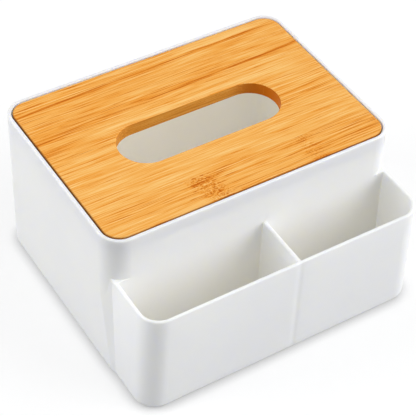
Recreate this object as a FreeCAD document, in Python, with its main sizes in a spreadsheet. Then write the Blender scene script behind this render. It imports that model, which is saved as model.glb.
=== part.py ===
"""Tissue box with a lift-off bamboo lid and a two-compartment tray moulded on its front.

Everything is in millimetres.  The origin is the middle of the footprint at floor level, +X runs to the
right along the wide side, +Y runs to the back and +Z runs up.  The driving dimensions stand in the
spreadsheet Sizes, and every sub-part is bound to them by expressions.
"""

import FreeCAD, Part
import math
import os
import Sketcher

# --------------------------------------------------------------------------------------------------
# Driving dimensions: alias, millimetres, what it measures
# --------------------------------------------------------------------------------------------------
DIMENSIONS = [
    ("body_width", 200.0, "outside width of the box"),
    ("box_depth", 139.0, "outside depth of the tall box"),
    ("tray_reach", 39.5, "how far the tray stands out in front of the tall box"),
    ("shell_height", 107.9, "height of the moulding, underside to rim"),
    ("tray_height", 76.2, "height of the tray's rim above the moulding's underside"),
    ("corner_radius", 14.0, "outside radius of the tall box's upright corners"),
    ("tray_corner_radius", 14.0, "outside radius of the tray's front corners"),
    ("tray_inset", 3.2, "step from the tall box's side to the tray's side, at the tray's rim"),
    ("tray_foot_inset", 1.0, "the same step at the underside: the tray's sides lean in as they rise"),
    ("cheek_run", 15.8, "from the tall box's front back to where a cheek begins, at the tray's rim"),
    ("cheek_step", 4.4, "how far a cheek comes in over that run"),
    ("box_wall", 4.4, "wall of the tall box below the lid, whose step carries the lid"),
    ("rim_wall", 2.3, "wall of the rim that stands round the lid"),
    ("tray_wall", 2.25, "wall of the tray"),
    ("floor_thickness", 3.0, "floor of the box and of the tray"),
    ("divider_thickness", 2.8, "web between the two compartments"),
    ("divider_offset", 6.0, "middle of the web to the right of the box's middle"),
    ("rim_round", 0.9, "rounding along both edges of every rim"),
    ("base_round", 2.0, "rounding round the underside"),
    ("floor_round", 3.0, "rounding where the inside walls meet the floor"),
    ("lid_thickness", 8.7, "thickness of the bamboo board"),
    ("lid_gap", 0.8, "clearance between the lid and the rim, all round"),
    ("lid_drop", 0.2, "how far the lid's top lies below the rim"),
    ("lid_round", 0.8, "rounding along the lid's upper outer edge"),
    ("lid_under_round", 0.3, "rounding along the lid's lower outer edge"),
    ("slot_length", 112.0, "length of the slot that the tissues come out of"),
    ("slot_width", 36.4, "width of that slot"),
    ("slot_forward", 2.8, "slot's middle in front of the lid's middle"),
    ("slot_round", 0.8, "rounding along the slot's edges"),
    ("strip_width", 25.3, "width of a whole bamboo strip"),
    ("strip_forward", 3.0, "slot strip's middle in front of the slot's middle"),
    ("narrowest_strip", 1.5, "a strip at the lid's edge is never narrower than this"),
    ("pad_radius", 6.0, "radius of a foot pad"),
    ("pad_thickness", 2.0, "thickness of a foot pad"),
    ("pad_stand", 0.8, "how far a pad stands out of the underside"),
    ("pad_clearance", 0.25, "clearance round a pad in its recess"),
    ("pad_inset_side", 24.0, "pad's middle from the box's side"),
    ("pad_inset_end", 20.0, "pad's middle from the front and the back"),
    ("pad_round", 0.4, "rounding round a pad's foot"),
]

doc = FreeCAD.newDocument("tissue_box")
sizes = doc.addObject("Spreadsheet::Sheet", "Sizes")
for row, (alias, size, meaning) in enumerate(DIMENSIONS, start=1):
    sizes.set(f"A{row}", str(size))
    sizes.setAlias(f"A{row}", alias)
    sizes.set(f"B{row}", meaning)
doc.recompute()

# Places and lengths that several pieces share, as expressions of the driving dimensions
BOX_LEFT = "-Sizes.body_width / 2"
TRAY_LEAN = "(Sizes.tray_inset - Sizes.tray_foot_inset) / Sizes.tray_height"
TRAY_RIM_WIDTH = "Sizes.body_width - 2 * Sizes.tray_inset"
TRAY_FOOT_WIDTH = "Sizes.body_width - 2 * Sizes.tray_foot_inset"
TRAY_FRONT = "-(Sizes.box_depth + Sizes.tray_reach) / 2"
BOX_FRONT = f"{TRAY_FRONT} + Sizes.tray_reach"
BOX_BACK = "(Sizes.box_depth + Sizes.tray_reach) / 2"
UNDERSIDE = "Sizes.pad_stand"
FLOOR_TOP = f"{UNDERSIDE} + Sizes.floor_thickness"
TRAY_TOP = f"{UNDERSIDE} + Sizes.tray_height"
RIM_TOP = f"{UNDERSIDE} + Sizes.shell_height"
LID_TOP = f"{RIM_TOP} - Sizes.lid_drop"
LID_SEAT = f"{LID_TOP} - Sizes.lid_thickness"
LID_EDGE = "Sizes.rim_wall + Sizes.lid_gap"
LID_FRONT = f"{BOX_FRONT} + {LID_EDGE}"
LID_BACK = f"{BOX_BACK} - ({LID_EDGE})"
SLOT_MIDDLE = f"{BOX_FRONT} + Sizes.box_depth / 2 - Sizes.slot_forward"


def value(expression):
    """What an expression comes to now, in millimetres."""
    return float(sizes.evalExpression(expression))


# --------------------------------------------------------------------------------------------------
# Sketches
# --------------------------------------------------------------------------------------------------
START, END, CENTRE = range(1, 4)
UPRIGHT_AXIS, ACROSS_AXIS = range(-2, 0)
ORIGIN_POINT = (ACROSS_AXIS, START)


def empty_sketch(body, name, plane_role, shift):
    """An empty sketch on a plane of the body's origin, moved by three expressions in the plane's axes."""
    sketch = body.newObject("Sketcher::SketchObject", name)
    plane = next(f for f in body.Origin.OriginFeatures if f.Role == plane_role)
    sketch.AttachmentSupport = [(plane, "")]
    sketch.MapMode = "FlatFace"
    for axis, expression in zip("xyz", shift):
        sketch.setExpression(f"AttachmentOffset.Base.{axis}", expression)
    return sketch


def level_sketch(body, name, across, along, level):
    """An empty sketch on a level plane, its origin at (across, along, level)."""
    return empty_sketch(body, name, "XY_Plane", (across, along, level))


def upright_sketch(body, name, across, along, level):
    """An empty sketch on an upright plane that faces the front, its origin at (across, along, level)."""
    return empty_sketch(body, name, "XZ_Plane", (across, level, f"-({along})"))


def bind(sketch, kind, *reference, name, expression):
    """Adds a dimension to a sketch, names it and binds it to an expression."""
    index = sketch.addConstraint(Sketcher.Constraint(kind, *reference, value(expression)))
    sketch.renameConstraint(index, name)
    sketch.setExpression(f"Constraints.{name}", expression)


def rectangle(body, name, left, front, level, width, depth, radius=None):
    """A rectangle with its left front corner at (left, front, level), round-cornered if it has a radius."""
    sketch = level_sketch(body, name, left, front, level)
    wide, deep = value(width), value(depth)
    corners = [(0, 0), (wide, 0), (wide, deep), (0, deep)]
    reach = value(radius) if radius else 0.0
    steps = [(1, 0), (0, 1), (-1, 0), (0, -1)]

    def point(corner, step, distance):
        x, y = corners[corner]
        return FreeCAD.Vector(x + step[0] * distance, y + step[1] * distance, 0)

    for side in range(4):
        after = (side + 1) % 4
        start = point(side, steps[side], reach)
        end = point(after, steps[side], -reach)
        sketch.addGeometry(Part.LineSegment(start, end))
    for side, direction in enumerate(("Horizontal", "Vertical", "Horizontal", "Vertical")):
        sketch.addConstraint(Sketcher.Constraint(direction, side))

    arcs = []
    for corner in range(4):
        before = (corner - 1) % 4
        if not radius:
            sketch.addConstraint(Sketcher.Constraint("Coincident", before, END, corner, START))
            continue
        inward = FreeCAD.Vector(*steps[corner], 0) - FreeCAD.Vector(*steps[before], 0)
        middle = FreeCAD.Vector(*corners[corner], 0) + inward * reach
        circle = Part.Circle(middle, FreeCAD.Vector(0, 0, 1), reach)
        turn = math.pi + corner * math.pi / 2
        arcs.append(sketch.addGeometry(Part.ArcOfCircle(circle, turn, turn + math.pi / 2)))
        sketch.addConstraint(Sketcher.Constraint("Tangent", before, END, arcs[-1], START))
        sketch.addConstraint(Sketcher.Constraint("Tangent", arcs[-1], END, corner, START))
    for arc in arcs[1:]:
        sketch.addConstraint(Sketcher.Constraint("Equal", arcs[0], arc))

    sketch.addConstraint(Sketcher.Constraint("PointOnObject", 0, START, ACROSS_AXIS))
    sketch.addConstraint(Sketcher.Constraint("PointOnObject", 3, START, UPRIGHT_AXIS))
    bind(sketch, "DistanceX", 3, START, 1, START, name="width", expression=width)
    bind(sketch, "DistanceY", 0, START, 2, START, name="depth", expression=depth)
    if arcs:
        bind(sketch, "Radius", arcs[0], name="corner", expression=radius)
    return sketch


def leaning_sides(body, name, along, foot, foot_width, top_width, height):
    """An upright outline about the box's middle, foot_width wide at its foot and top_width at its top."""
    sketch = upright_sketch(body, name, "0", along, foot)
    low, high, tall = value(foot_width) / 2, value(top_width) / 2, value(height)
    corners = [(-low, 0), (low, 0), (high, tall), (-high, tall)]
    points = [FreeCAD.Vector(x, y, 0) for x, y in corners]
    for side in range(4):
        sketch.addGeometry(Part.LineSegment(points[side], points[(side + 1) % 4]))
    for side in range(4):
        sketch.addConstraint(Sketcher.Constraint("Coincident", side, END, (side + 1) % 4, START))
    for level_side in (0, 2):
        sketch.addConstraint(
            Sketcher.Constraint("Symmetric", level_side, START, level_side, END, UPRIGHT_AXIS)
        )
    sketch.addConstraint(Sketcher.Constraint("PointOnObject", 0, START, ACROSS_AXIS))
    bind(sketch, "DistanceX", 0, START, 0, END, name="foot_width", expression=foot_width)
    bind(sketch, "DistanceX", 2, END, 2, START, name="top_width", expression=top_width)
    bind(sketch, "DistanceY", 0, END, 2, START, name="height", expression=height)
    return sketch


def outside_slope(body, name, hand, along, foot, foot_reach, top_reach, outside, height):
    """An upright outline on the left (hand -1) or on the right (hand 1), between a slope and an upright line.

    They stand foot_reach, top_reach and outside from the box's middle.
    """
    sketch = upright_sketch(body, name, "0", along, foot)
    low, high, far, tall = value(foot_reach), value(top_reach), value(outside), value(height)
    corners = [(low, 0), (far, 0), (far, tall), (high, tall)]
    points = [FreeCAD.Vector(hand * x, y, 0) for x, y in corners]
    for side in range(4):
        sketch.addGeometry(Part.LineSegment(points[side], points[(side + 1) % 4]))
    for side in range(4):
        sketch.addConstraint(Sketcher.Constraint("Coincident", side, END, (side + 1) % 4, START))
    for side, direction in enumerate(("Horizontal", "Vertical", "Horizontal")):
        sketch.addConstraint(Sketcher.Constraint(direction, side))
    sketch.addConstraint(Sketcher.Constraint("PointOnObject", 0, START, ACROSS_AXIS))
    reaches = [("foot_reach", 0, foot_reach), ("outside", 1, outside), ("top_reach", 3, top_reach)]
    for label, side, reach in reaches:
        ends = [ORIGIN_POINT, (side, START)][::hand]
        bind(sketch, "DistanceX", *ends[0], *ends[1], name=label, expression=reach)
    bind(sketch, "DistanceY", 0, START, 2, START, name="height", expression=height)
    return sketch


def stadium(body, name, across, along, level, length, width):
    """A slot outline with round ends, centred on (across, along, level) and long in X."""
    sketch = level_sketch(body, name, across, along, level)
    radius = value(width) / 2
    half = value(length) / 2 - radius
    outline = []
    for middle, turn in ((half, -math.pi / 2), (-half, math.pi / 2)):
        start = FreeCAD.Vector(-middle, math.copysign(radius, turn), 0)
        end = FreeCAD.Vector(middle, math.copysign(radius, turn), 0)
        outline.append(sketch.addGeometry(Part.LineSegment(start, end)))
        circle = Part.Circle(FreeCAD.Vector(middle, 0, 0), FreeCAD.Vector(0, 0, 1), radius)
        outline.append(sketch.addGeometry(Part.ArcOfCircle(circle, turn, turn + math.pi)))
    front_side, right_end, back_side, left_end = outline
    for before, after in zip(outline, [right_end, back_side, left_end, front_side]):
        sketch.addConstraint(Sketcher.Constraint("Tangent", before, END, after, START))
    sketch.addConstraint(Sketcher.Constraint("Symmetric", right_end, CENTRE, left_end, CENTRE, *ORIGIN_POINT))
    sketch.addConstraint(Sketcher.Constraint("Horizontal", front_side))
    bind(sketch, "Radius", right_end, name="end_radius", expression=f"({width}) / 2")
    bind(
        sketch, "DistanceX", left_end, CENTRE, right_end, CENTRE,
        name="between_ends", expression=f"{length} - ({width})",
    )
    return sketch


def circle(body, name, across, along, level, radius):
    """A circle about (across, along, level)."""
    sketch = level_sketch(body, name, across, along, level)
    middle, up = FreeCAD.Vector(0, 0, 0), FreeCAD.Vector(0, 0, 1)
    sketch.addGeometry(Part.Circle(middle, up, value(radius)))
    sketch.addConstraint(Sketcher.Constraint("Coincident", 0, CENTRE, *ORIGIN_POINT))
    bind(sketch, "Radius", 0, name="radius", expression=radius)
    return sketch


# --------------------------------------------------------------------------------------------------
# Features
# --------------------------------------------------------------------------------------------------
SAME_PLACE = 1e-4


def pad(body, name, sketch, height):
    """Raises a level sketch upwards by height, or an upright one towards the front."""
    feature = body.newObject("PartDesign::Pad", name)
    feature.Profile = sketch
    feature.setExpression("Length", height)
    doc.recompute()
    return feature


def pocket(body, name, sketch, depth, upwards=False):
    """Cuts a level sketch downwards by depth, or upwards, or an upright one towards the back.

    It makes sure that something was taken away.
    """
    before = body.Tip.Shape.Volume
    feature = body.newObject("PartDesign::Pocket", name)
    feature.Profile = sketch
    feature.Reversed = upwards
    feature.setExpression("Length", depth)
    doc.recompute()
    if feature.Shape.Volume >= before:
        raise RuntimeError(f"{name} cuts nothing")
    return feature


def slanting_pocket(body, name, sketch, depth, sideways):
    """Cuts an upright sketch towards the back by depth, while it moves sideways by that much."""
    feature = body.newObject("PartDesign::Pocket", name)
    feature.Profile = sketch
    feature.UseCustomVector = True
    feature.AlongSketchNormal = True
    feature.setExpression("Direction.x", sideways)
    feature.setExpression("Direction.y", depth)
    feature.setExpression("Direction.z", "0")
    feature.setExpression("Length", depth)
    doc.recompute()
    return feature


def fillet(body, name, radius, wanted):
    """Rounds every edge of the body so far for which wanted(edge) is true."""
    base = body.Tip
    names = [f"Edge{n}" for n, edge in enumerate(base.Shape.Edges, start=1) if wanted(edge)]
    if not names:
        raise RuntimeError(f"{name} found no edge")
    feature = body.newObject("PartDesign::Fillet", name)
    feature.Base = (base, names)
    feature.setExpression("Radius", radius)
    doc.recompute()
    return feature


def lies_at(edge, level):
    """True for an edge that lies in the level plane at that height."""
    box = edge.BoundBox
    return abs(box.ZMin - level) < SAME_PLACE and abs(box.ZMax - level) < SAME_PLACE


def is_upright_at(edge, along):
    """True for an edge that rises in the upright plane at that depth, straight up or leaning."""
    box = edge.BoundBox
    is_in_plane = abs(box.YMin - along) < SAME_PLACE and abs(box.YMax - along) < SAME_PLACE
    is_level = box.ZLength < SAME_PLACE
    return is_in_plane and not is_level


def is_within(edge, left, right, front, back):
    """True for an edge whose middle lies strictly inside a level rectangle."""
    middle = edge.BoundBox.Center
    return left < middle.x < right and front < middle.y < back


# --------------------------------------------------------------------------------------------------
# The moulding: tall box, tray, divider, lid seat and pad recesses in one piece of plastic
# --------------------------------------------------------------------------------------------------
def pad_places():
    """Name and centre of each foot pad, as expressions."""
    side = "Sizes.body_width / 2 - Sizes.pad_inset_side"
    front = f"{TRAY_FRONT} + Sizes.pad_inset_end"
    back = f"{BOX_BACK} - Sizes.pad_inset_end"
    for end, along in (("front", front), ("back", back)):
        for hand, across in (("left", f"-({side})"), ("right", side)):
            yield f"foot_pad_{end}_{hand}", across, along


def make_shell():
    body = doc.addObject("PartDesign::Body", "body_shell")
    body.Label = "body_shell"

    # Below the tray's rim a flat cheek closes the notch that the tall box's round corner leaves beside the
    # tray.  It starts flush with the tall box's side, and comes in towards the front and as it rises.
    cheek_front = f"{BOX_FRONT} - Sizes.cheek_run"
    outline = rectangle(
        body, "cheeks_outline", BOX_LEFT, cheek_front, UNDERSIDE,
        "Sizes.body_width", "2 * Sizes.cheek_run",
    )
    pad(body, "cheeks", outline, "Sizes.tray_height")
    for hand, side in ((-1, "left"), (1, "right")):
        outline = outside_slope(
            body, f"outside_cheek_{side}_outline", hand, cheek_front, UNDERSIDE,
            "Sizes.body_width / 2 - Sizes.cheek_step", "Sizes.body_width / 2 - 2 * Sizes.cheek_step",
            "Sizes.body_width / 2 + Sizes.cheek_step", "Sizes.tray_height",
        )
        slanting_pocket(
            body, f"outside_cheek_{side}", outline, "3 * Sizes.cheek_run", f"{3 * hand} * Sizes.cheek_step"
        )

    outline = rectangle(
        body, "box_outline", BOX_LEFT, BOX_FRONT, UNDERSIDE,
        "Sizes.body_width", "Sizes.box_depth", "Sizes.corner_radius",
    )
    pad(body, "box_block", outline, "Sizes.shell_height")

    # The tray's block runs back into the tall box, so that it closes the notch beside each round corner
    outline = leaning_sides(
        body, "tray_outline", f"{BOX_FRONT} + Sizes.corner_radius", UNDERSIDE,
        TRAY_FOOT_WIDTH, TRAY_RIM_WIDTH, "Sizes.tray_height",
    )
    pad(body, "tray_block", outline, "Sizes.tray_reach + Sizes.corner_radius")

    outline = rectangle(
        body, "chamber_outline", f"{BOX_LEFT} + Sizes.box_wall", f"{BOX_FRONT} + Sizes.box_wall", RIM_TOP,
        "Sizes.body_width - 2 * Sizes.box_wall", "Sizes.box_depth - 2 * Sizes.box_wall",
        "Sizes.corner_radius - Sizes.box_wall",
    )
    pocket(body, "tissue_chamber", outline, "Sizes.shell_height - Sizes.floor_thickness")

    outline = rectangle(
        body, "lid_seat_outline", f"{BOX_LEFT} + Sizes.rim_wall", f"{BOX_FRONT} + Sizes.rim_wall", RIM_TOP,
        "Sizes.body_width - 2 * Sizes.rim_wall", "Sizes.box_depth - 2 * Sizes.rim_wall",
        "Sizes.corner_radius - Sizes.rim_wall",
    )
    pocket(body, "lid_seat", outline, "Sizes.lid_thickness + Sizes.lid_drop")

    hollow_front = f"{TRAY_FRONT} + Sizes.tray_wall"
    outline = leaning_sides(
        body, "tray_hollow_outline", hollow_front, FLOOR_TOP,
        f"{TRAY_FOOT_WIDTH} - 2 * (Sizes.tray_wall + {TRAY_LEAN} * Sizes.floor_thickness)",
        f"{TRAY_RIM_WIDTH} - 2 * Sizes.tray_wall", "Sizes.tray_height - Sizes.floor_thickness",
    )
    pocket(body, "tray_hollow", outline, "Sizes.tray_reach - Sizes.tray_wall")
    inner_front = value(hollow_front)
    fillet(
        body, "tray_hollow_corners", "Sizes.tray_corner_radius - Sizes.tray_wall",
        lambda edge: is_upright_at(edge, inner_front),
    )

    # The outside corners come after the hollow, whose own corners are sharp when it is cut
    front, underside = value(TRAY_FRONT), value(UNDERSIDE)
    fillet(body, "tray_corners", "Sizes.tray_corner_radius", lambda edge: is_upright_at(edge, front))
    fillet(body, "base_rounding", "Sizes.base_round", lambda edge: lies_at(edge, underside))

    # The divider's ends run half a wall deep into the tray's front and into the tall box
    outline = rectangle(
        body, "divider_outline", "Sizes.divider_offset - Sizes.divider_thickness / 2",
        f"{TRAY_FRONT} + Sizes.tray_wall / 2", f"{UNDERSIDE} + Sizes.floor_thickness / 2",
        "Sizes.divider_thickness", "Sizes.tray_reach - Sizes.tray_wall / 2 + Sizes.box_wall / 2",
    )
    pad(body, "divider", outline, "Sizes.tray_height - Sizes.floor_thickness / 2")

    floor_top = value(FLOOR_TOP)
    fillet(body, "floor_rounding", "Sizes.floor_round", lambda edge: lies_at(edge, floor_top))

    rim_top = value(RIM_TOP)
    fillet(body, "box_rim_rounding", "Sizes.rim_round", lambda edge: lies_at(edge, rim_top))

    # The tray's rim is rounded up to the tall box, but not along the line where it meets that box
    tray_top, box_front = value(TRAY_TOP), value(BOX_FRONT)

    def on_tray_rim(edge):
        box = edge.BoundBox
        is_on_corner = box.YMax > box_front + SAME_PLACE and box.XLength > SAME_PLACE
        is_on_wall = abs(box.Center.y - box_front) < SAME_PLACE
        return lies_at(edge, tray_top) and not is_on_corner and not is_on_wall

    fillet(body, "tray_rim_rounding", "Sizes.rim_round", on_tray_rim)

    for name, across, along in pad_places():
        outline = circle(
            body, f"{name}_outline", across, along, UNDERSIDE, "Sizes.pad_radius + Sizes.pad_clearance"
        )
        pocket(body, f"{name}_recess", outline, "Sizes.pad_thickness - Sizes.pad_stand", upwards=True)
    return body


# --------------------------------------------------------------------------------------------------
# The lid: one board, glued up from bamboo strips that run the long way
# --------------------------------------------------------------------------------------------------
def make_lid_board():
    """The whole board with its slot and rounded edges, which the strips are cut from."""
    body = doc.addObject("PartDesign::Body", "lid_board")
    outline = rectangle(
        body, "lid_outline", f"{BOX_LEFT} + {LID_EDGE}", LID_FRONT, LID_SEAT,
        f"Sizes.body_width - 2 * ({LID_EDGE})", f"Sizes.box_depth - 2 * ({LID_EDGE})",
        f"Sizes.corner_radius - ({LID_EDGE})",
    )
    pad(body, "board", outline, "Sizes.lid_thickness")
    outline = stadium(
        body, "slot_outline", "0", SLOT_MIDDLE, LID_TOP, "Sizes.slot_length", "Sizes.slot_width"
    )
    pocket(body, "tissue_slot", outline, "Sizes.lid_thickness")

    lid_top, lid_seat = value(LID_TOP), value(LID_SEAT)
    half_length, half_width = value("Sizes.slot_length / 2"), value("Sizes.slot_width / 2")
    middle, margin = value(SLOT_MIDDLE), value("Sizes.slot_round")

    def on_slot(edge):
        return is_within(
            edge, -half_length - margin, half_length + margin,
            middle - half_width - margin, middle + half_width + margin,
        )

    def on_slot_face(edge):
        return on_slot(edge) and (lies_at(edge, lid_top) or lies_at(edge, lid_seat))

    def on_rim_at(level):
        return lambda edge: lies_at(edge, level) and not on_slot(edge)

    fillet(body, "slot_rounding", "Sizes.slot_round", on_slot_face)
    fillet(body, "lid_rounding", "Sizes.lid_round", on_rim_at(lid_top))
    fillet(body, "lid_under_rounding", "Sizes.lid_under_round", on_rim_at(lid_seat))
    return body


def cut_strip(board, name, left, right, front, back):
    """The part of the board between two upright planes in X and two in Y."""
    block = doc.addObject("Part::Box", f"{name}_block")
    block.setExpression("Length", f"({right}) - ({left})")
    block.setExpression("Width", f"({back}) - ({front})")
    block.setExpression("Height", "Sizes.lid_thickness")
    block.setExpression("Placement.Base.x", left)
    block.setExpression("Placement.Base.y", front)
    block.setExpression("Placement.Base.z", LID_SEAT)
    strip = doc.addObject("Part::Common", name)
    strip.Label = name
    strip.Base = board
    strip.Tool = block
    return strip


def strips_beyond(room):
    """How many strips fill the room between the slot strip and an edge of the lid."""
    return math.ceil(value(f"({room} - Sizes.narrowest_strip) / Sizes.strip_width"))


def make_strips(board):
    """The strip that the slot cuts in two, then the strips behind it and in front of it."""
    box_right = "Sizes.body_width / 2"
    slot_strip_front = f"{SLOT_MIDDLE} - Sizes.strip_forward - Sizes.strip_width / 2"
    slot_strip_back = f"{SLOT_MIDDLE} - Sizes.strip_forward + Sizes.strip_width / 2"
    strips = [
        cut_strip(board, "lid_strip_slot_left", BOX_LEFT, "0", slot_strip_front, slot_strip_back),
        cut_strip(board, "lid_strip_slot_right", "0", box_right, slot_strip_front, slot_strip_back),
    ]

    count = strips_beyond(f"{LID_BACK} - ({slot_strip_back})")
    for number in range(1, count + 1):
        front = f"{slot_strip_back} + {number - 1} * Sizes.strip_width"
        back = LID_BACK if number == count else f"{front} + Sizes.strip_width"
        strips.append(cut_strip(board, f"lid_strip_back_{number}", BOX_LEFT, box_right, front, back))

    count = strips_beyond(f"{slot_strip_front} - ({LID_FRONT})")
    for number in range(1, count + 1):
        back = f"{slot_strip_front} - {number - 1} * Sizes.strip_width"
        front = LID_FRONT if number == count else f"{back} - Sizes.strip_width"
        strips.append(cut_strip(board, f"lid_strip_front_{number}", BOX_LEFT, box_right, front, back))
    return strips


# --------------------------------------------------------------------------------------------------
# The foot pads: soft discs, each glued into a shallow recess in the underside
# --------------------------------------------------------------------------------------------------
def make_pads():
    pads = []
    for name, across, along in pad_places():
        body = doc.addObject("PartDesign::Body", name)
        body.Label = name
        outline = circle(body, f"{name}_disc_outline", across, along, "0", "Sizes.pad_radius")
        pad(body, f"{name}_disc", outline, "Sizes.pad_thickness")
        fillet(body, f"{name}_rounding", "Sizes.pad_round", lambda edge: lies_at(edge, 0.0))
        pads.append(body)
    return pads


# --------------------------------------------------------------------------------------------------
# Build, check and write
# --------------------------------------------------------------------------------------------------
shell = make_shell()
board = make_lid_board()
pieces = [shell, *make_strips(board), *make_pads()]
doc.recompute()

for item in doc.Objects:
    if "Invalid" in item.State or "Error" in item.State:
        raise RuntimeError(f"{item.Name} did not build: {item.State}")
os.makedirs("parts", exist_ok=True)
for piece in pieces:
    shape = piece.Shape
    if shape.isNull() or not shape.isValid() or len(shape.Solids) != 1:
        raise RuntimeError(f"{piece.Label} is not one valid solid")
for piece in pieces:
    piece.Shape.exportStep(f"parts/{piece.Label}.step")
    box = piece.Shape.optimalBoundingBox(False)
    print(
        f"{piece.Label}: {box.XLength:.2f} x {box.YLength:.2f} x {box.ZLength:.2f} mm,"
        f" {piece.Shape.Volume / 1000:.2f} cm3"
    )
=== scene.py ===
# %% [markdown]
# # A tissue box with a bamboo lid and an open front tray
# The box and its tray are one white plastic moulding. The lid is a loose board, glued up from strips of bamboo,
# with a rounded slot in it. Four small rubber feet sit under the box.
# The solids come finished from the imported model, in metres, so this file makes their surfaces, the light and the
# camera. Surfaces could be painted by hand on images. Here every one is worked out from its place on the object,
# so it stays sharp from near by, and any number in it can be changed.

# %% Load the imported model
import math
import bmesh
import bpy
from mathutils import Euler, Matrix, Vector

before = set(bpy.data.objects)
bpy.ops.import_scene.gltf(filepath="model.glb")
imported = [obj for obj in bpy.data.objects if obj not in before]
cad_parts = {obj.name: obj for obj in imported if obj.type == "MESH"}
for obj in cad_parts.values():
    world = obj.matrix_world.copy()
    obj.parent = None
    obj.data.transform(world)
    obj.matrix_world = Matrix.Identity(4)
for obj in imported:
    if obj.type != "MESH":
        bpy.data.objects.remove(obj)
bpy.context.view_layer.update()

scene = bpy.context.scene

# %% [markdown]
# ## The camera
# The object is seen from above its front left corner, from far enough away that its sides stay nearly parallel.
# A camera can be aimed with a Track To constraint, or be given its place and its turn as plain numbers.
# Numbers are used here, because the camera is also rolled a few degrees, which a constraint would undo.

# %% Place the camera
camera_data = bpy.data.cameras.new("camera")
camera_data.sensor_width = 36
camera_data.lens = 127.382
camera = bpy.data.objects.new("camera", camera_data)
camera.location = (-0.370875, -0.550997, 0.703366)
camera.rotation_euler = Euler([math.radians(angle) for angle in (45.3725, -2.0657, -31.7564)])
scene.collection.objects.link(camera)
scene.camera = camera
print("camera", round(camera.location.length, 3), "m away, lens", camera_data.lens, "mm")

# %% [markdown]
# ## Colours and bounces
# White plastic throws nearly all light back, so inside the box and the tray it goes from wall to wall many times.
# A lamp could be added for every dark corner. It is simpler to let the light bounce more often than is usual.
# The Standard view shows each colour as it is worked out, where the other views change it as a film would.

# %% Set the view and the bounces
bounces = 32
scene.view_settings.view_transform = "Standard"
scene.cycles.max_bounces = bounces
scene.cycles.diffuse_bounces = bounces
print("view", scene.view_settings.view_transform, "with", bounces, "bounces")

# %% [markdown]
# ## Small helpers for material nodes
# A material in Blender is a little factory: nodes work out numbers and colours, and wires carry them on.
# The editor's way is to drag nodes about with the mouse. In a script the same is a few lines a node, so these
# helpers make one node, fill in its sockets and hand back what comes out of it.
# A value can be a plain number or the output of another node: the helper sets the first and wires the second.

# %% Helpers that add one node
def fill_in(tree, made, sockets):
    """Fills in the inputs of a node: plain values are set, and outputs of other nodes are wired."""
    for name, value in sockets.items():
        if isinstance(value, bpy.types.NodeSocket):
            tree.links.new(value, made.inputs[name])
        else:
            made.inputs[name].default_value = value


def node(tree, kind, sockets=None, **settings):
    """Adds a node. sockets gives values or wires for its inputs, and settings are the menus on the node."""
    made = tree.nodes.new(kind)
    for name, value in settings.items():
        setattr(made, name, value)
    fill_in(tree, made, sockets or {})
    return made


print("helpers: fill_in and node")


# %% Helpers for arithmetic
def maths(tree, operation, *values, clamp=False):
    """One step of arithmetic, such as SUBTRACT or MULTIPLY_ADD."""
    return node(tree, "ShaderNodeMath", dict(enumerate(values)), operation=operation, use_clamp=clamp).outputs[0]


def product(tree, first, *others):
    """Multiplies any number of values."""
    for other in others:
        first = maths(tree, "MULTIPLY", first, other)
    return first


def fade(tree, value, start, end, low=0.0, high=1.0):
    """Goes smoothly from low to high as value goes from start to end."""
    sockets = {"Value": value, "From Min": start, "From Max": end, "To Min": low, "To Max": high}
    return node(tree, "ShaderNodeMapRange", sockets, interpolation_type="SMOOTHSTEP").outputs[0]


print("helpers: maths, product and fade")

# %% [markdown]
# ## Places and marks
# A pattern has to know where it is. An image would need the surface unrolled first. The object's own coordinates
# are there at once and stay with it when it moves, and in millimetres they can be compared with a ruler.
# Most marks come from the Noise node, whose clouds are pulled to the size of the real mark.

# %% Helpers for places and marks
def millimetres(tree):
    """The place on the object, in millimetres, from its own coordinates."""
    place = node(tree, "ShaderNodeTexCoord").outputs["Object"]
    return node(tree, "ShaderNodeVectorMath", {0: place, "Scale": 1000.0}, operation="SCALE").outputs[0]


def stretch(tree, place, sizes):
    """Turns a place in millimetres into one where 1 is the size of a mark: sizes gives it along x, y and z."""
    sockets = {"Vector": place, "Scale": tuple(1 / size for size in sizes)}
    return node(tree, "ShaderNodeMapping", sockets).outputs[0]


def cloudy(tree, place, detail=2.0, roughness=0.5):
    """Soft random marks, around 0.5."""
    sockets = {"Vector": place, "Scale": 1.0, "Detail": detail, "Roughness": roughness}
    return node(tree, "ShaderNodeTexNoise", sockets).outputs[0]


print("helpers: millimetres, stretch and cloudy")

# %% [markdown]
# ## Table
# The object stands on a white table that runs into a white background. A backdrop can be a curved sheet.
# A plain floor that turns into pure white further out does the same with one square, and it looks alike from
# every side. Underneath, the table is a middle grey, so that it throws little light up at the object. A glow that
# only the eye and mirrors see lifts it to white.
# In the last millimetres under the object there is hardly any light left. Ambient Occlusion measures how much of
# its surroundings a point can see, and the table is darkened where that is little.

# %% Shape of the table
table_half_width = 4.0
floor_mesh = bpy.data.meshes.new("floor")
sheet = bmesh.new()
bmesh.ops.create_grid(sheet, x_segments=1, y_segments=1, size=table_half_width)
sheet.to_mesh(floor_mesh)
sheet.free()
floor = bpy.data.objects.new("floor", floor_mesh)
scene.collection.objects.link(floor)
print("floor", tuple(round(v, 2) for v in floor.dimensions), "m")


# %% Helpers for the table's finish
def new_finish(name):
    """An empty material and its Principled shader, with the shader wired to the output."""
    finish = bpy.data.materials.new(name)
    finish.use_nodes = True
    tree = finish.node_tree
    tree.nodes.clear()
    shader = node(tree, "ShaderNodeBsdfPrincipled")
    node(tree, "ShaderNodeOutputMaterial", {"Surface": shader.outputs[0]})
    return finish, tree, shader


def seen(tree):
    """1 for rays from the camera, a mirror or glass, and 0 for rays that gather the light on other things."""
    rays = node(tree, "ShaderNodeLightPath").outputs
    camera_or_mirror = maths(tree, "MAXIMUM", rays["Is Camera Ray"], rays["Is Glossy Ray"])
    return maths(tree, "MAXIMUM", camera_or_mirror, rays["Is Transmission Ray"])


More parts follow.
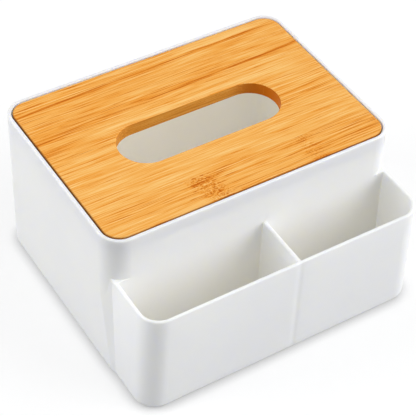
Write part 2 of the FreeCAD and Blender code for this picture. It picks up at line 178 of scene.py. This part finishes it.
WHITE = (1, 1, 1, 1)
print("helpers: new_finish and seen")

# %% Finish of the table
white_table, tree, shader = new_finish("white_table")
place = millimetres(tree)
speckle = cloudy(tree, stretch(tree, place, (3, 3, 3)), 3)
table_grey = 0.395
fill_in(tree, shader, {
    "Base Color": (table_grey, table_grey, table_grey, 1),
    "Roughness": fade(tree, speckle, 0.3, 0.7, 0.55, 0.65),
})
contact_reach, contact_shade = 0.009, 0.56
open_share = node(tree, "ShaderNodeAmbientOcclusion", {"Distance": contact_reach}, samples=8).outputs["AO"]
contact = fade(tree, open_share, 0.40, 1.0, contact_shade, 1.0)
eye = seen(tree)
table_glow = 0.60
glow = node(tree, "ShaderNodeEmission", {"Color": WHITE, "Strength": product(tree, eye, table_glow, contact)})
near_look = node(tree, "ShaderNodeAddShader", {0: shader.outputs[0], 1: glow.outputs[0]})
white = node(tree, "ShaderNodeEmission", {"Color": WHITE, "Strength": 1.0})
distance = node(tree, "ShaderNodeVectorMath", {0: place}, operation="LENGTH").outputs["Value"]
white_starts, white_everywhere = 260, 700
far = product(tree, fade(tree, distance, white_starts, white_everywhere), eye)
look = node(tree, "ShaderNodeMixShader", {0: far, 1: near_look.outputs[0], 2: white.outputs[0]})
fill_in(tree, tree.nodes["Material Output"], {"Surface": look.outputs[0]})
floor_mesh.materials.append(white_table)
print("finish", white_table.name, len(tree.nodes), "nodes")

# %% [markdown]
# ## Light
# The room is pale all round, and two large soft boxes give the object its form: one to the left and a little
# behind, one to the right and in front. The edge that points at the camera gets the least light.
# Suns or small lamps would draw hard shadows on the table, and soft boxes don't.
# Little of their light finds its way through the slot, yet the inside of the real box looks pale there. White
# plastic may let some light through its walls. That could be traced, but slowly and with much grain, so a weak
# lamp inside the box stands in for it. It is part of the light, and the object's finish doesn't depend on it.

# %% World
world = bpy.data.worlds.new("bright_room")
scene.world = world
world.use_nodes = True
tree = world.node_tree
tree.nodes.clear()
room_light = 0.43
room = node(tree, "ShaderNodeBackground", {"Color": (0.97, 0.985, 1.0, 1), "Strength": room_light})
white = node(tree, "ShaderNodeBackground", {"Color": WHITE, "Strength": 1.0})
look = node(tree, "ShaderNodeMixShader", {0: seen(tree), 1: room.outputs[0], 2: white.outputs[0]})
node(tree, "ShaderNodeOutputWorld", {"Surface": look.outputs[0]})
print("world", world.name, "at", room_light)


# %% Lamps
def hang(name, lamp):
    """Puts a lamp into the scene where the camera doesn't see it, and returns the object that holds it."""
    holder = bpy.data.objects.new(name, lamp)
    holder.visible_camera = False
    scene.collection.objects.link(holder)
    return holder


def soft_box(name, direction, level, size, distance):
    """A square lamp that faces the object. direction points from the object to the lamp, and a level of 1 lights
    a white sheet that faces it to pure white."""
    lamp = bpy.data.lights.new(name, "AREA")
    lamp.size = size
    lamp.energy = level * (math.pi * distance) ** 2
    holder = hang(name, lamp)
    holder.location = Vector(direction).normalized() * distance
    holder.rotation_euler = Vector(direction).to_track_quat("Z", "Y").to_euler()


soft_box("left_soft_box", (-0.90, 0.44, 0.58), level=0.525, size=0.95, distance=1.5)
soft_box("right_soft_box", (0.82, -0.57, 0.58), level=0.895, size=2.4, distance=2.5)

inside = bpy.data.lights.new("lamp_in_the_box", "AREA")
inside.shape = "RECTANGLE"
inside.size, inside.size_y = 0.15, 0.09
inside.energy = 0.0235
inside.color = (0.97, 1.0, 0.95)
hang("lamp_in_the_box", inside).location = (0.012, 0.02, 0.096)

# %% [markdown]
# ## Effects that several finishes share
# **Rubbed edges**: the corners of anything that is handled get polished before its flat sides do.
# Wear can be painted by hand. Cycles can also find the edges: its Bevel node gives the normal that a surface
# would have if its edges were rounder, and where that differs from the real normal, there is an edge.
# **Fine grit**: nothing real is as smooth as a computer's plane, so each finish gets tiny bumps of its own size.
# Both are node groups, built once and placed in each finish with its own numbers.

# %% Helpers for shared effects
def new_effect(name, numbers, results):
    """A node group: a node of our own. A place and some named numbers go in, and named numbers come out."""
    group = bpy.data.node_groups.new(name, "ShaderNodeTree")
    group.interface.new_socket("Place", in_out="INPUT", socket_type="NodeSocketVector")
    for label in numbers:
        group.interface.new_socket(label, in_out="INPUT", socket_type="NodeSocketFloat")
    for label in results:
        group.interface.new_socket(label, in_out="OUTPUT", socket_type="NodeSocketFloat")
    given = group.nodes.new("NodeGroupInput").outputs
    return group, given, group.nodes.new("NodeGroupOutput")


def use_effect(tree, effect, place, numbers):
    """Puts an effect into a finish, with numbers for its sockets, and returns what comes out of it."""
    return node(tree, "ShaderNodeGroup", {"Place": place, **numbers}, node_tree=effect).outputs


print("helpers: new_effect and use_effect")

# %% Rubbed edges
tree, given, result = new_effect("rubbed_edges", ["Width", "Patchiness"], ["Rubbed"])
rubbed_edges = tree
radius = product(tree, given["Width"], 0.001)
rounded = node(tree, "ShaderNodeBevel", {"Radius": radius}, samples=4).outputs[0]
normal = node(tree, "ShaderNodeNewGeometry").outputs["Normal"]
agree = node(tree, "ShaderNodeVectorMath", {0: rounded, 1: normal}, operation="DOT_PRODUCT").outputs["Value"]
edge = fade(tree, agree, 0.995, 0.90)
least = maths(tree, "SUBTRACT", 1.0, given["Patchiness"])
patches = fade(tree, cloudy(tree, stretch(tree, given["Place"], (6, 6, 6)), 3), 0.35, 0.65, least, 1.0)
fill_in(tree, result, {"Rubbed": product(tree, edge, patches)})
print("effect", rubbed_edges.name)

# %% Fine grit
tree, given, result = new_effect("fine_grit", ["Size", "Height"], ["Height", "Grain"])
fine_grit = tree
shrink = maths(tree, "DIVIDE", 1.0, given["Size"])
scaled = node(tree, "ShaderNodeVectorMath", {0: given["Place"], "Scale": shrink}, operation="SCALE").outputs[0]
grain = cloudy(tree, scaled, 2, 0.6)
height = product(tree, maths(tree, "SUBTRACT", grain, 0.5), given["Height"])
fill_in(tree, result, {"Height": height, "Grain": grain})
print("effect", fine_grit.name)

# %% [markdown]
# ## White moulded plastic
# The box is injection moulded: melted plastic fills a steel mould, whose walls were etched to a fine satin.
# So its gloss is soft and even, and a little clearer along rubbed edges. Where the tray's divider meets the front
# wall, the plastic is thicker, cools later and pulls the surface in by a few hundredths of a millimetre.
# That sink mark could be modelled, but it is far too shallow for a mesh, and a bump catches the light in the same
# way. Light also spreads a few millimetres inside white plastic, which softens small bumps, so they are set
# deeper here than on the real box. Down inside the tray, light that bounces between the walls looks a little
# warmer than outside. A faint warm tint is painted there for it: painted reflected light, not a colour of the
# plastic.

# %% Helpers for colours
def tint(red, green, blue):
    """A colour as an image editor shows it, 0 to 255, turned into the light values that the renderer works in."""
    shares = [value / 255 for value in (red, green, blue)]
    return tuple(s / 12.92 if s <= 0.04045 else ((s + 0.055) / 1.055) ** 2.4 for s in shares) + (1.0,)


def blend(tree, amount, first, second):
    """Mixes two colours: none of the second at 0, and nothing else at 1."""
    sockets = {0: amount, 6: first, 7: second}
    return node(tree, "ShaderNodeMix", sockets, data_type="RGBA").outputs[2]


print("white plastic as light values:", [round(v, 3) for v in tint(243, 244, 246)])


# %% Helpers for lines and outlines
def axes(tree, vector):
    """The x, y and z of a place or a direction."""
    return node(tree, "ShaderNodeSeparateXYZ", {0: vector}).outputs


def bell(tree, off):
    """1 where off is 0, and falling away to both sides like a bell."""
    return maths(tree, "EXPONENT", product(tree, off, off, -1.0))


def reach_past(tree, past_x, past_y):
    """How far a place lies outside a rectangle, from how far it lies past its sides. A line along which this
    stays equal is the rectangle's outline with rounded corners."""
    past_x, past_y = (maths(tree, "MAXIMUM", past, 0.0) for past in (past_x, past_y))
    squares = maths(tree, "MULTIPLY_ADD", past_x, past_x, product(tree, past_y, past_y))
    return maths(tree, "SQRT", squares)


print("helpers: axes, bell and reach_past")

# %% Bumps of the box
white_plastic, tree, shader = new_finish("white_plastic")
place = millimetres(tree)
x, y, z = axes(tree, place)
grit = use_effect(tree, fine_grit, place, {"Size": 0.35, "Height": 0.004})
rub = use_effect(tree, rubbed_edges, place, {"Width": 1.2, "Patchiness": 0.5})["Rubbed"]

divider_x, sink_half_width, sink_depth = 6.0, 2.0, 0.30
off_divider = maths(tree, "DIVIDE", maths(tree, "SUBTRACT", x, divider_x), sink_half_width)
on_front = fade(tree, y, -87.5, -88.8)
sink = product(tree, bell(tree, off_divider), on_front, -sink_depth)
ripple_height = 0.10
ripple = product(tree, cloudy(tree, stretch(tree, place, (45, 45, 60)), 1), ripple_height)
height = maths(tree, "ADD", maths(tree, "ADD", grit["Height"], sink), ripple)
bump = node(tree, "ShaderNodeBump", {"Height": height, "Distance": 0.001, "Strength": 1.0}).outputs[0]
print("bumps: grit, sink mark at x =", divider_x, "mm and ripple")

# %% Colour of the box
clouds = fade(tree, cloudy(tree, stretch(tree, place, (60, 60, 60)), 2), 0.35, 0.65)
plain = blend(tree, clouds, tint(242, 243, 245), tint(244, 245, 247))
# The centres of the tray's front corners and the radius of its inner wall there, in millimetres
tray_corner_x, tray_corner_y, tray_inner_radius = 82.8, -75.25, 12.5
past_x = maths(tree, "SUBTRACT", maths(tree, "ABSOLUTE", x), tray_corner_x)
past_y = maths(tree, "SUBTRACT", tray_corner_y, y)
from_corner = reach_past(tree, past_x, past_y)
within_walls = fade(tree, from_corner, tray_inner_radius + 1.0, tray_inner_radius)
before_box, deep_down = fade(tree, y, -49.0, -49.6), fade(tree, z, 86, 40)
painted_tray_bounce = product(tree, within_walls, before_box, deep_down)
# Painted reflected light: a faint warm tint deep inside the tray, where light bounces between the walls.
plain = blend(tree, painted_tray_bounce, plain, tint(246, 245, 242))
colour = blend(tree, product(tree, rub, 0.6), plain, tint(249, 249, 249))
roughness = maths(tree, "MULTIPLY_ADD", grit["Grain"], 0.10, 0.36)
roughness = maths(tree, "MULTIPLY_ADD", rub, -0.10, roughness)
fill_in(tree, shader, {
    "Base Color": colour,
    "Roughness": roughness,
    "Normal": bump,
    "IOR": 1.46,
    "Subsurface Weight": 1.0,
    "Subsurface Radius": (1.0, 0.97, 0.80),
    "Subsurface Scale": 0.0035,
})
print("finish", white_plastic.name, len(tree.nodes), "nodes")

# %% [markdown]
# ## Bamboo
# A bamboo cane is cut into long strips, which are planed and glued side by side into a board. Each strip comes
# from another cane, so each has its own tone. All along a strip run hair-thin fibre bundles. They show as fine
# lines on its face and as dots where the slot cuts across them.
# A picture of bamboo could be laid over the lid, but it would smear down the edges of the slot. A solid pattern,
# with marks that are long along x and thin along y and z, gives lines on the face and dots on the cut ends by
# itself. Three widths of line lie over each other here, and all of them sway a little, as a grown cane does.

# %% Helpers for swaying lines
def wavering(tree, place, sizes):
    """Soft random marks, around 0."""
    return maths(tree, "SUBTRACT", cloudy(tree, stretch(tree, place, sizes), 2), 0.5)


def moved_by(tree, place, along):
    """A place, moved by so much along each of the named axes."""
    shift = node(tree, "ShaderNodeCombineXYZ", along).outputs[0]
    return node(tree, "ShaderNodeVectorMath", {0: place, 1: shift}).outputs[0]


print("helpers: wavering and moved_by")

# %% Fibres
tree, given, result = new_effect("bamboo_fibres", ["Seed"], ["Tone", "Dashes"])
bamboo_fibres = tree
seed = given["Seed"]
cane = moved_by(tree, given["Place"], {"X": product(tree, seed, 317.0), "Z": product(tree, seed, 71.0)})
sway = 2.5
cane = moved_by(tree, cane, {"Y": product(tree, wavering(tree, cane, (70, 22, 22)), sway)})
hair = cloudy(tree, stretch(tree, cane, (40, 0.55, 0.8)), 2, 0.70)
line = cloudy(tree, stretch(tree, cane, (48, 1.9, 2.4)), 2)
broad = cloudy(tree, stretch(tree, cane, (90, 8, 8)), 2)
lines = maths(tree, "MULTIPLY_ADD", line, 0.08, product(tree, broad, 0.20))
lines = maths(tree, "MULTIPLY_ADD", hair, 2.00, lines)
dashes = cloudy(tree, stretch(tree, cane, (7, 0.55, 0.55)), 1)
fill_in(tree, result, {"Tone": maths(tree, "SUBTRACT", lines, 0.62), "Dashes": fade(tree, dashes, 0.60, 0.72)})
print("effect", bamboo_fibres.name)

# %% [markdown]
# ## Streaks
# Here and there a strip has a darker or a paler streak, a millimetre or two wide, that runs along it for most of
# its length. It could be drawn as a curve. A formula is enough: it measures how far a place lies from a slightly
# sloping line, and noise makes the line wander and breaks it up. At both ends it fades out.

# %% Streaks along a strip
STREAK_NUMBERS = ("Line Y", "Slope", "Width", "From X", "To X", "Wander")
tree, given, result = new_effect("dark_streak", STREAK_NUMBERS, ["Streak"])
dark_streak = tree
place = given["Place"]
x, y, _ = axes(tree, place)
line_y = maths(tree, "MULTIPLY_ADD", x, given["Slope"], given["Line Y"])
line_y = maths(tree, "MULTIPLY_ADD", wavering(tree, place, (24, 9, 9)), given["Wander"], line_y)
off = maths(tree, "DIVIDE", maths(tree, "SUBTRACT", y, line_y), given["Width"])
start = fade(tree, maths(tree, "SUBTRACT", x, given["From X"]), -18, 12)
stop = fade(tree, maths(tree, "SUBTRACT", x, given["To X"]), 18, -12)
streak = product(tree, bell(tree, off), product(tree, start, stop))
broken = fade(tree, cloudy(tree, stretch(tree, place, (30, 1.2, 1.2)), 2), 0.25, 0.6, 0.35, 1.0)
fill_in(tree, result, {"Streak": product(tree, streak, broken)})
print("effect", dark_streak.name)

# %% [markdown]
# ## Joints of the cane
# Where the cane had a joint, its fibres cross and tangle, so there is a band of dark, mottled dots with single
# fibres running out of it. One strip shows two of them. A band of noise with a ragged edge gives the same, and
# its three parts come out separately, so that the strip's finish can decide how strong each is.

# %% Joints in a strip
JOINT_NUMBERS = ("Middle X", "Lean", "Half Width")
tree, given, result = new_effect("cane_joint", JOINT_NUMBERS, ["Joint", "Mottle", "Sprouts"])
cane_joint = tree
place = given["Place"]
x, y, _ = axes(tree, place)
lean_from_y, raggedness = -35.0, 9.0
middle = maths(tree, "MULTIPLY_ADD", maths(tree, "SUBTRACT", y, lean_from_y), given["Lean"], given["Middle X"])
off = maths(tree, "ABSOLUTE", maths(tree, "SUBTRACT", x, middle))
off = maths(tree, "MULTIPLY_ADD", wavering(tree, place, (5, 1.0, 1.0)), raggedness, off)
share = maths(tree, "DIVIDE", off, given["Half Width"])
sprouts = fade(tree, cloudy(tree, stretch(tree, place, (9, 0.8, 0.8)), 2, 0.6), 0.52, 0.72)
spots = cloudy(tree, stretch(tree, place, (1.5, 0.75, 0.75)), 3, 0.70)
fill_in(tree, result, {
    "Joint": fade(tree, share, 1.45, 0.35),
    "Sprouts": product(tree, sprouts, fade(tree, share, 3.2, 0.8)),
    "Mottle": fade(tree, spots, 0.36, 0.64),
})
print("effect", cane_joint.name)


# %% [markdown]
# ## The tone of a strip
# Everything that makes bamboo lighter or darker is added up to one number, the tone. 0.5 is the usual colour of
# the lid, and less is darker. Each mark could mix in a colour of its own instead, but then the order of the marks
# would matter, and a ramp could no longer give them all the same honey colours.

# %% Tone of one strip
# How far each kind of mark shifts the tone, and half the width of a glue seam in millimetres
DASH_STRENGTH, SPROUT_STRENGTH = 0.14, 0.38
PALE_DOT, DARK_DOT = 0.12, -0.50
SEAM_HALF_WIDTH = 0.45


def strip_tone(tree, place, seed, shift, drift, contrast, streaks, joints, seams):
    """shift makes a strip lighter or darker, drift makes it lighter towards +x, and contrast sets how strongly
    its fibres show. Streaks, joints and glue seams are lists of where they run, each with its strength last. A
    streak with a strength below 0 is a pale one."""
    x, y, _ = axes(tree, place)
    fibres = use_effect(tree, bamboo_fibres, place, {"Seed": seed})
    lines = maths(tree, "SUBTRACT", fibres["Tone"], 0.5)
    tone = maths(tree, "MULTIPLY_ADD", lines, contrast, 0.5 + shift)
    marks = [(x, drift), (fibres["Dashes"], -DASH_STRENGTH)]
    for *numbers, strength in streaks:
        streak = use_effect(tree, dark_streak, place, dict(zip(STREAK_NUMBERS, numbers)))["Streak"]
        marks.append((streak, -strength))
    for *numbers, strength in joints:
        joint = use_effect(tree, cane_joint, place, dict(zip(JOINT_NUMBERS, numbers)))
        mottle = maths(tree, "MULTIPLY_ADD", joint["Mottle"], PALE_DOT - DARK_DOT, DARK_DOT)
        marks.append((joint["Joint"], product(tree, mottle, strength)))
        marks.append((joint["Sprouts"], -SPROUT_STRENGTH * strength))
    for seam_y, strength in seams:
        off_seam = maths(tree, "ABSOLUTE", maths(tree, "SUBTRACT", y, seam_y))
        marks.append((fade(tree, off_seam, SEAM_HALF_WIDTH, 0.05), -strength))
    for mark, strength in marks:
        tone = maths(tree, "MULTIPLY_ADD", mark, strength, tone)
    return tone


print("helper: strip_tone")

# %% Colour for each tone
STOPS = (
    (0.0, tint(196, 95, 0)),
    (0.125, tint(217, 123, 27)),
    (0.25, tint(235, 146, 44)),
    (0.375, tint(242, 160, 61)),
    (0.5, tint(246, 173, 79)),
    (0.75, tint(250, 190, 104)),
    (1.0, tint(255, 208, 132)),
)


def honey_colour(tree, tone):
    """The colour of lacquered bamboo at each tone."""
    ramp = node(tree, "ShaderNodeValToRGB", {"Fac": tone})
    elements = ramp.color_ramp.elements
    while len(elements) < len(STOPS):
        elements.new(0.5)
    for element, (position, colour) in zip(elements, STOPS):
        element.position = position
        element.color = colour
    return ramp.outputs[0]


print("bamboo tones:", [position for position, _ in STOPS])


# %% [markdown]
# ## Cut walls, and painted shade on them and at the edges
# The slot is cut with a spinning cutter, and its walls show end grain, which soaks up more lacquer, so they are
# browner than the face, and the open ends of the fibres show as dark pores. Part of the walls' darker brown is
# painted shade, and the extra dark at the right hand end, which faces away from the light, is all painted shade.
# The lid's outer edges get painted shadow too, on the left and at the front more than elsewhere: the shade in the
# narrow gap between the lid and the box's rim. The normal tells a wall from a face, and a distance from the middle
# tells the slot's wall from the outer edge, so two formulas find them exactly.

# %% Mask for the walls of the slot
def slot_walls(tree, x, facing):
    """How far a surface is a cut wall, and how far it is the right hand end of the slot, which gets painted shade.
    """
    facing_x, _, facing_z = facing
    wall = fade(tree, maths(tree, "ABSOLUTE", facing_z), 0.75, 0.35)
    turned_left = maths(tree, "MULTIPLY_ADD", facing_x, -0.6, 0.4, clamp=True)
    return wall, product(tree, fade(tree, x, 30, 50), turned_left)


print("helper: slot_walls")

# %% Mask for the painted gap shadow on the outer edges
# The lid's middle, the centres of its round corners from there, and their radius, in millimetres
LID_MIDDLE_Y = 19.75
LID_CORNER_X, LID_CORNER_Y, LID_RADIUS = 86.0, 55.5, 10.9


def painted_gap_shadow(tree, x, y, facing_z):
    """How far a surface is an outer edge of the lid that gets painted shadow from the gap at the rim, most on the
    left and at the front.
    """
    from_middle = maths(tree, "ABSOLUTE", maths(tree, "SUBTRACT", y, LID_MIDDLE_Y))
    aside = maths(tree, "ABSOLUTE", x)
    outside = maths(tree, "MAXIMUM", fade(tree, aside, 90, 94), fade(tree, from_middle, 60, 64))
    past_x = maths(tree, "SUBTRACT", aside, LID_CORNER_X)
    past_y = maths(tree, "SUBTRACT", from_middle, LID_CORNER_Y)
    rim = fade(tree, reach_past(tree, past_x, past_y), LID_RADIUS - 1.0, LID_RADIUS)
    # The painted gap shadow is strongest on the left and at the front.
    gap_shade_sides = maths(tree, "MAXIMUM", fade(tree, x, -70, -95), fade(tree, y, -40, -46, 0.0, 0.4))
    outside = product(tree, outside, maths(tree, "MULTIPLY_ADD", gap_shade_sides, 0.6, 0.4))
    steep = fade(tree, maths(tree, "ABSOLUTE", facing_z), 0.45, 0.15)
    return maths(tree, "MAXIMUM", product(tree, steep, outside, 0.85), product(tree, rim, gap_shade_sides, 0.68))


print("helper: painted_gap_shadow")


# %% [markdown]
# ## One finish for each strip
# The top has a thin satin lacquer, and the underside is left raw, so it is paler. A strong gloss could be set, but
# a white room then washes the grain out wherever it is seen at a low angle. Sanded and thinly lacquered bamboo
# hardly does that, so the gloss is kept low. The fibres are also raised by a few hundredths of a millimetre.

# %% Finish of a strip
def bamboo_finish(name, **marks):
    """A finish for one strip. marks are what strip_tone wants to know of it."""
    finish, tree, shader = new_finish(name)
    place = millimetres(tree)
    x, y, _ = axes(tree, place)
    facing = axes(tree, node(tree, "ShaderNodeNewGeometry").outputs["Normal"])
    wall, shaded_far_end = slot_walls(tree, x, facing)
    # The walls are darkened partly for their end grain and partly as painted shade; the right hand end's extra
    # dark is painted shade.
    wall_tone_and_shade = maths(tree, "MULTIPLY_ADD", shaded_far_end, 0.55, 0.30)
    pores = fade(tree, cloudy(tree, stretch(tree, place, (1.4, 0.7, 0.7)), 2), 0.50, 0.66)
    tone = strip_tone(tree, place, **marks)
    tone = maths(tree, "MULTIPLY_ADD", wall, product(tree, wall_tone_and_shade, -1.0), tone)
    tone = maths(tree, "MULTIPLY_ADD", product(tree, pores, wall), -0.22, tone)

    honey = honey_colour(tree, tone)
    # The wall colour is partly end grain and partly painted shade, and the deep brown at the right hand end is
    # painted shade.
    cut = blend(tree, 0.65, honey, tint(200, 140, 54))
    cut = blend(tree, shaded_far_end, cut, tint(196, 104, 4))
    colour = blend(tree, wall, honey, cut)
    rub = use_effect(tree, rubbed_edges, place, {"Width": 0.8, "Patchiness": 0.6})["Rubbed"]
    colour = blend(tree, product(tree, rub, 0.25), colour, tint(222, 146, 60))
    # Painted shadow: the lid's outer edges turn a deep brown, as the gap under the rim shades them.
    colour = blend(tree, painted_gap_shadow(tree, x, y, facing[2]), colour, tint(122, 66, 26))
    raw = blend(tree, tone, tint(216, 190, 140), tint(248, 232, 196))
    colour = blend(tree, fade(tree, facing[2], -0.5, -0.9), colour, raw)

    grit = use_effect(tree, fine_grit, place, {"Size": 0.3, "Height": 0.004})
    height = maths(tree, "MULTIPLY_ADD", tone, 0.03, grit["Height"])
    bump = node(tree, "ShaderNodeBump", {"Height": height, "Distance": 0.001, "Strength": 0.8}).outputs[0]
    fill_in(tree, shader, {
        "Base Color": colour,
        "Roughness": maths(tree, "MULTIPLY_ADD", tone, 0.12, 0.50),
        "Normal": bump,
        "IOR": 1.45,
        "Specular IOR Level": 0.1,
    })
    return finish


print("helper: bamboo_finish")

# %% [markdown]
# ## The seven strips
# Each strip is listed with what sets it apart. The two dark streaks run a little askew, so that each crosses a
# glue seam and shows on two strips: the list names it once and gives it to both. Every strip's noise is shifted by
# a number of its own, the seed, or the same fibres would run through all of them.

# %% Marks of each strip
upper_streak = [(76.2, 0.029, 1.2, -110, 40, 1.0, 0.42), (76.0, 0.029, 0.9, 40, 110, 0.8, 0.24)]
lower_streak = [(51.0, 0.031, 1.5, -110, 110, 1.2, 0.40)]
back_streak = [(79.0, 0.020, 1.0, -110, 90, 0.6, -0.28)]
middle_streaks = [(47.0, 0.02, 2.4, -110, -50, 1.5, 0.22), (38.4, 0.0, 1.9, -55, 75, 0.5, -0.34)]
front_joints = [(-25.2, -0.30, 8.0, 1.05), (46.2, 0.0, 5.5, 0.5)]
strip_marks = {
    "back_3": dict(shift=0.02, drift=0.0002, contrast=1.3, streaks=upper_streak + back_streak,
                   seams=[(77.2, 0.12)]),
    "back_2": dict(shift=0.0, drift=0.0005, contrast=1.2, streaks=upper_streak + lower_streak,
                   seams=[(77.2, 0.12), (51.9, 0.15)]),
    "back_1": dict(shift=0.05, drift=0.0004, contrast=1.3, streaks=lower_streak + middle_streaks,
                   seams=[(51.9, 0.15), (26.6, 0.05)]),
    "slot_left": dict(shift=0.08, drift=0.0, contrast=1.2, seams=[(26.6, 0.04), (1.3, 0.08)]),
    "slot_right": dict(shift=0.07, drift=-0.0002, contrast=1.3, seams=[(26.6, 0.04), (1.3, 0.08)]),
    "front_1": dict(shift=0.12, drift=0.0, contrast=1.2, seams=[(1.3, 0.05), (-24.0, 0.08)]),
    "front_2": dict(shift=0.02, drift=-0.0006, contrast=1.3, joints=front_joints, seams=[(-24.0, 0.10)]),
}
strip_finishes = {}
for seed, (strip, marks) in enumerate(strip_marks.items(), start=1):
    marks = {"seed": seed, "streaks": [], "joints": [], **marks}
    strip_finishes[f"lid_strip_{strip}"] = bamboo_finish(f"bamboo_{strip}", **marks)
print("bamboo finishes:", sorted(finish.name for finish in strip_finishes.values()))

# %% [markdown]
# ## Rubber feet
# Four soft grey discs keep the box from sliding. They are pressed into shallow seats under the floor.
# Soft rubber has no clear gloss: it is matt, a little uneven, and picks up dust. A high roughness, fine bumps and
# a slightly lighter patchy dust tone show that, and nothing needs modelling on a disc this small.

# %% Finish of the feet
pad_rubber, tree, shader = new_finish("pad_rubber")
place = millimetres(tree)
grit = use_effect(tree, fine_grit, place, {"Size": 0.5, "Height": 0.02})
dust = fade(tree, cloudy(tree, stretch(tree, place, (2.5, 2.5, 2.5)), 3), 0.4, 0.7)
bump = node(tree, "ShaderNodeBump", {"Height": grit["Height"], "Distance": 0.001, "Strength": 1.0}).outputs[0]
fill_in(tree, shader, {
    "Base Color": blend(tree, dust, tint(176, 178, 181), tint(196, 197, 199)),
    "Roughness": maths(tree, "MULTIPLY_ADD", dust, 0.1, 0.78),
    "Normal": bump,
})
print("finish", pad_rubber.name)

# %% [markdown]
# ## Dress the object
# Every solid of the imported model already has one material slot. Putting a finish there is all that dressing it
# takes, and the solid itself isn't touched.

# %% Put the finishes on
for name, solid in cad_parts.items():
    if name in strip_finishes:
        finish = strip_finishes[name]
    elif name.startswith("foot_pad"):
        finish = pad_rubber
    else:
        finish = white_plastic
    solid.material_slots[0].material = finish
    print(name, "wears", finish.name)
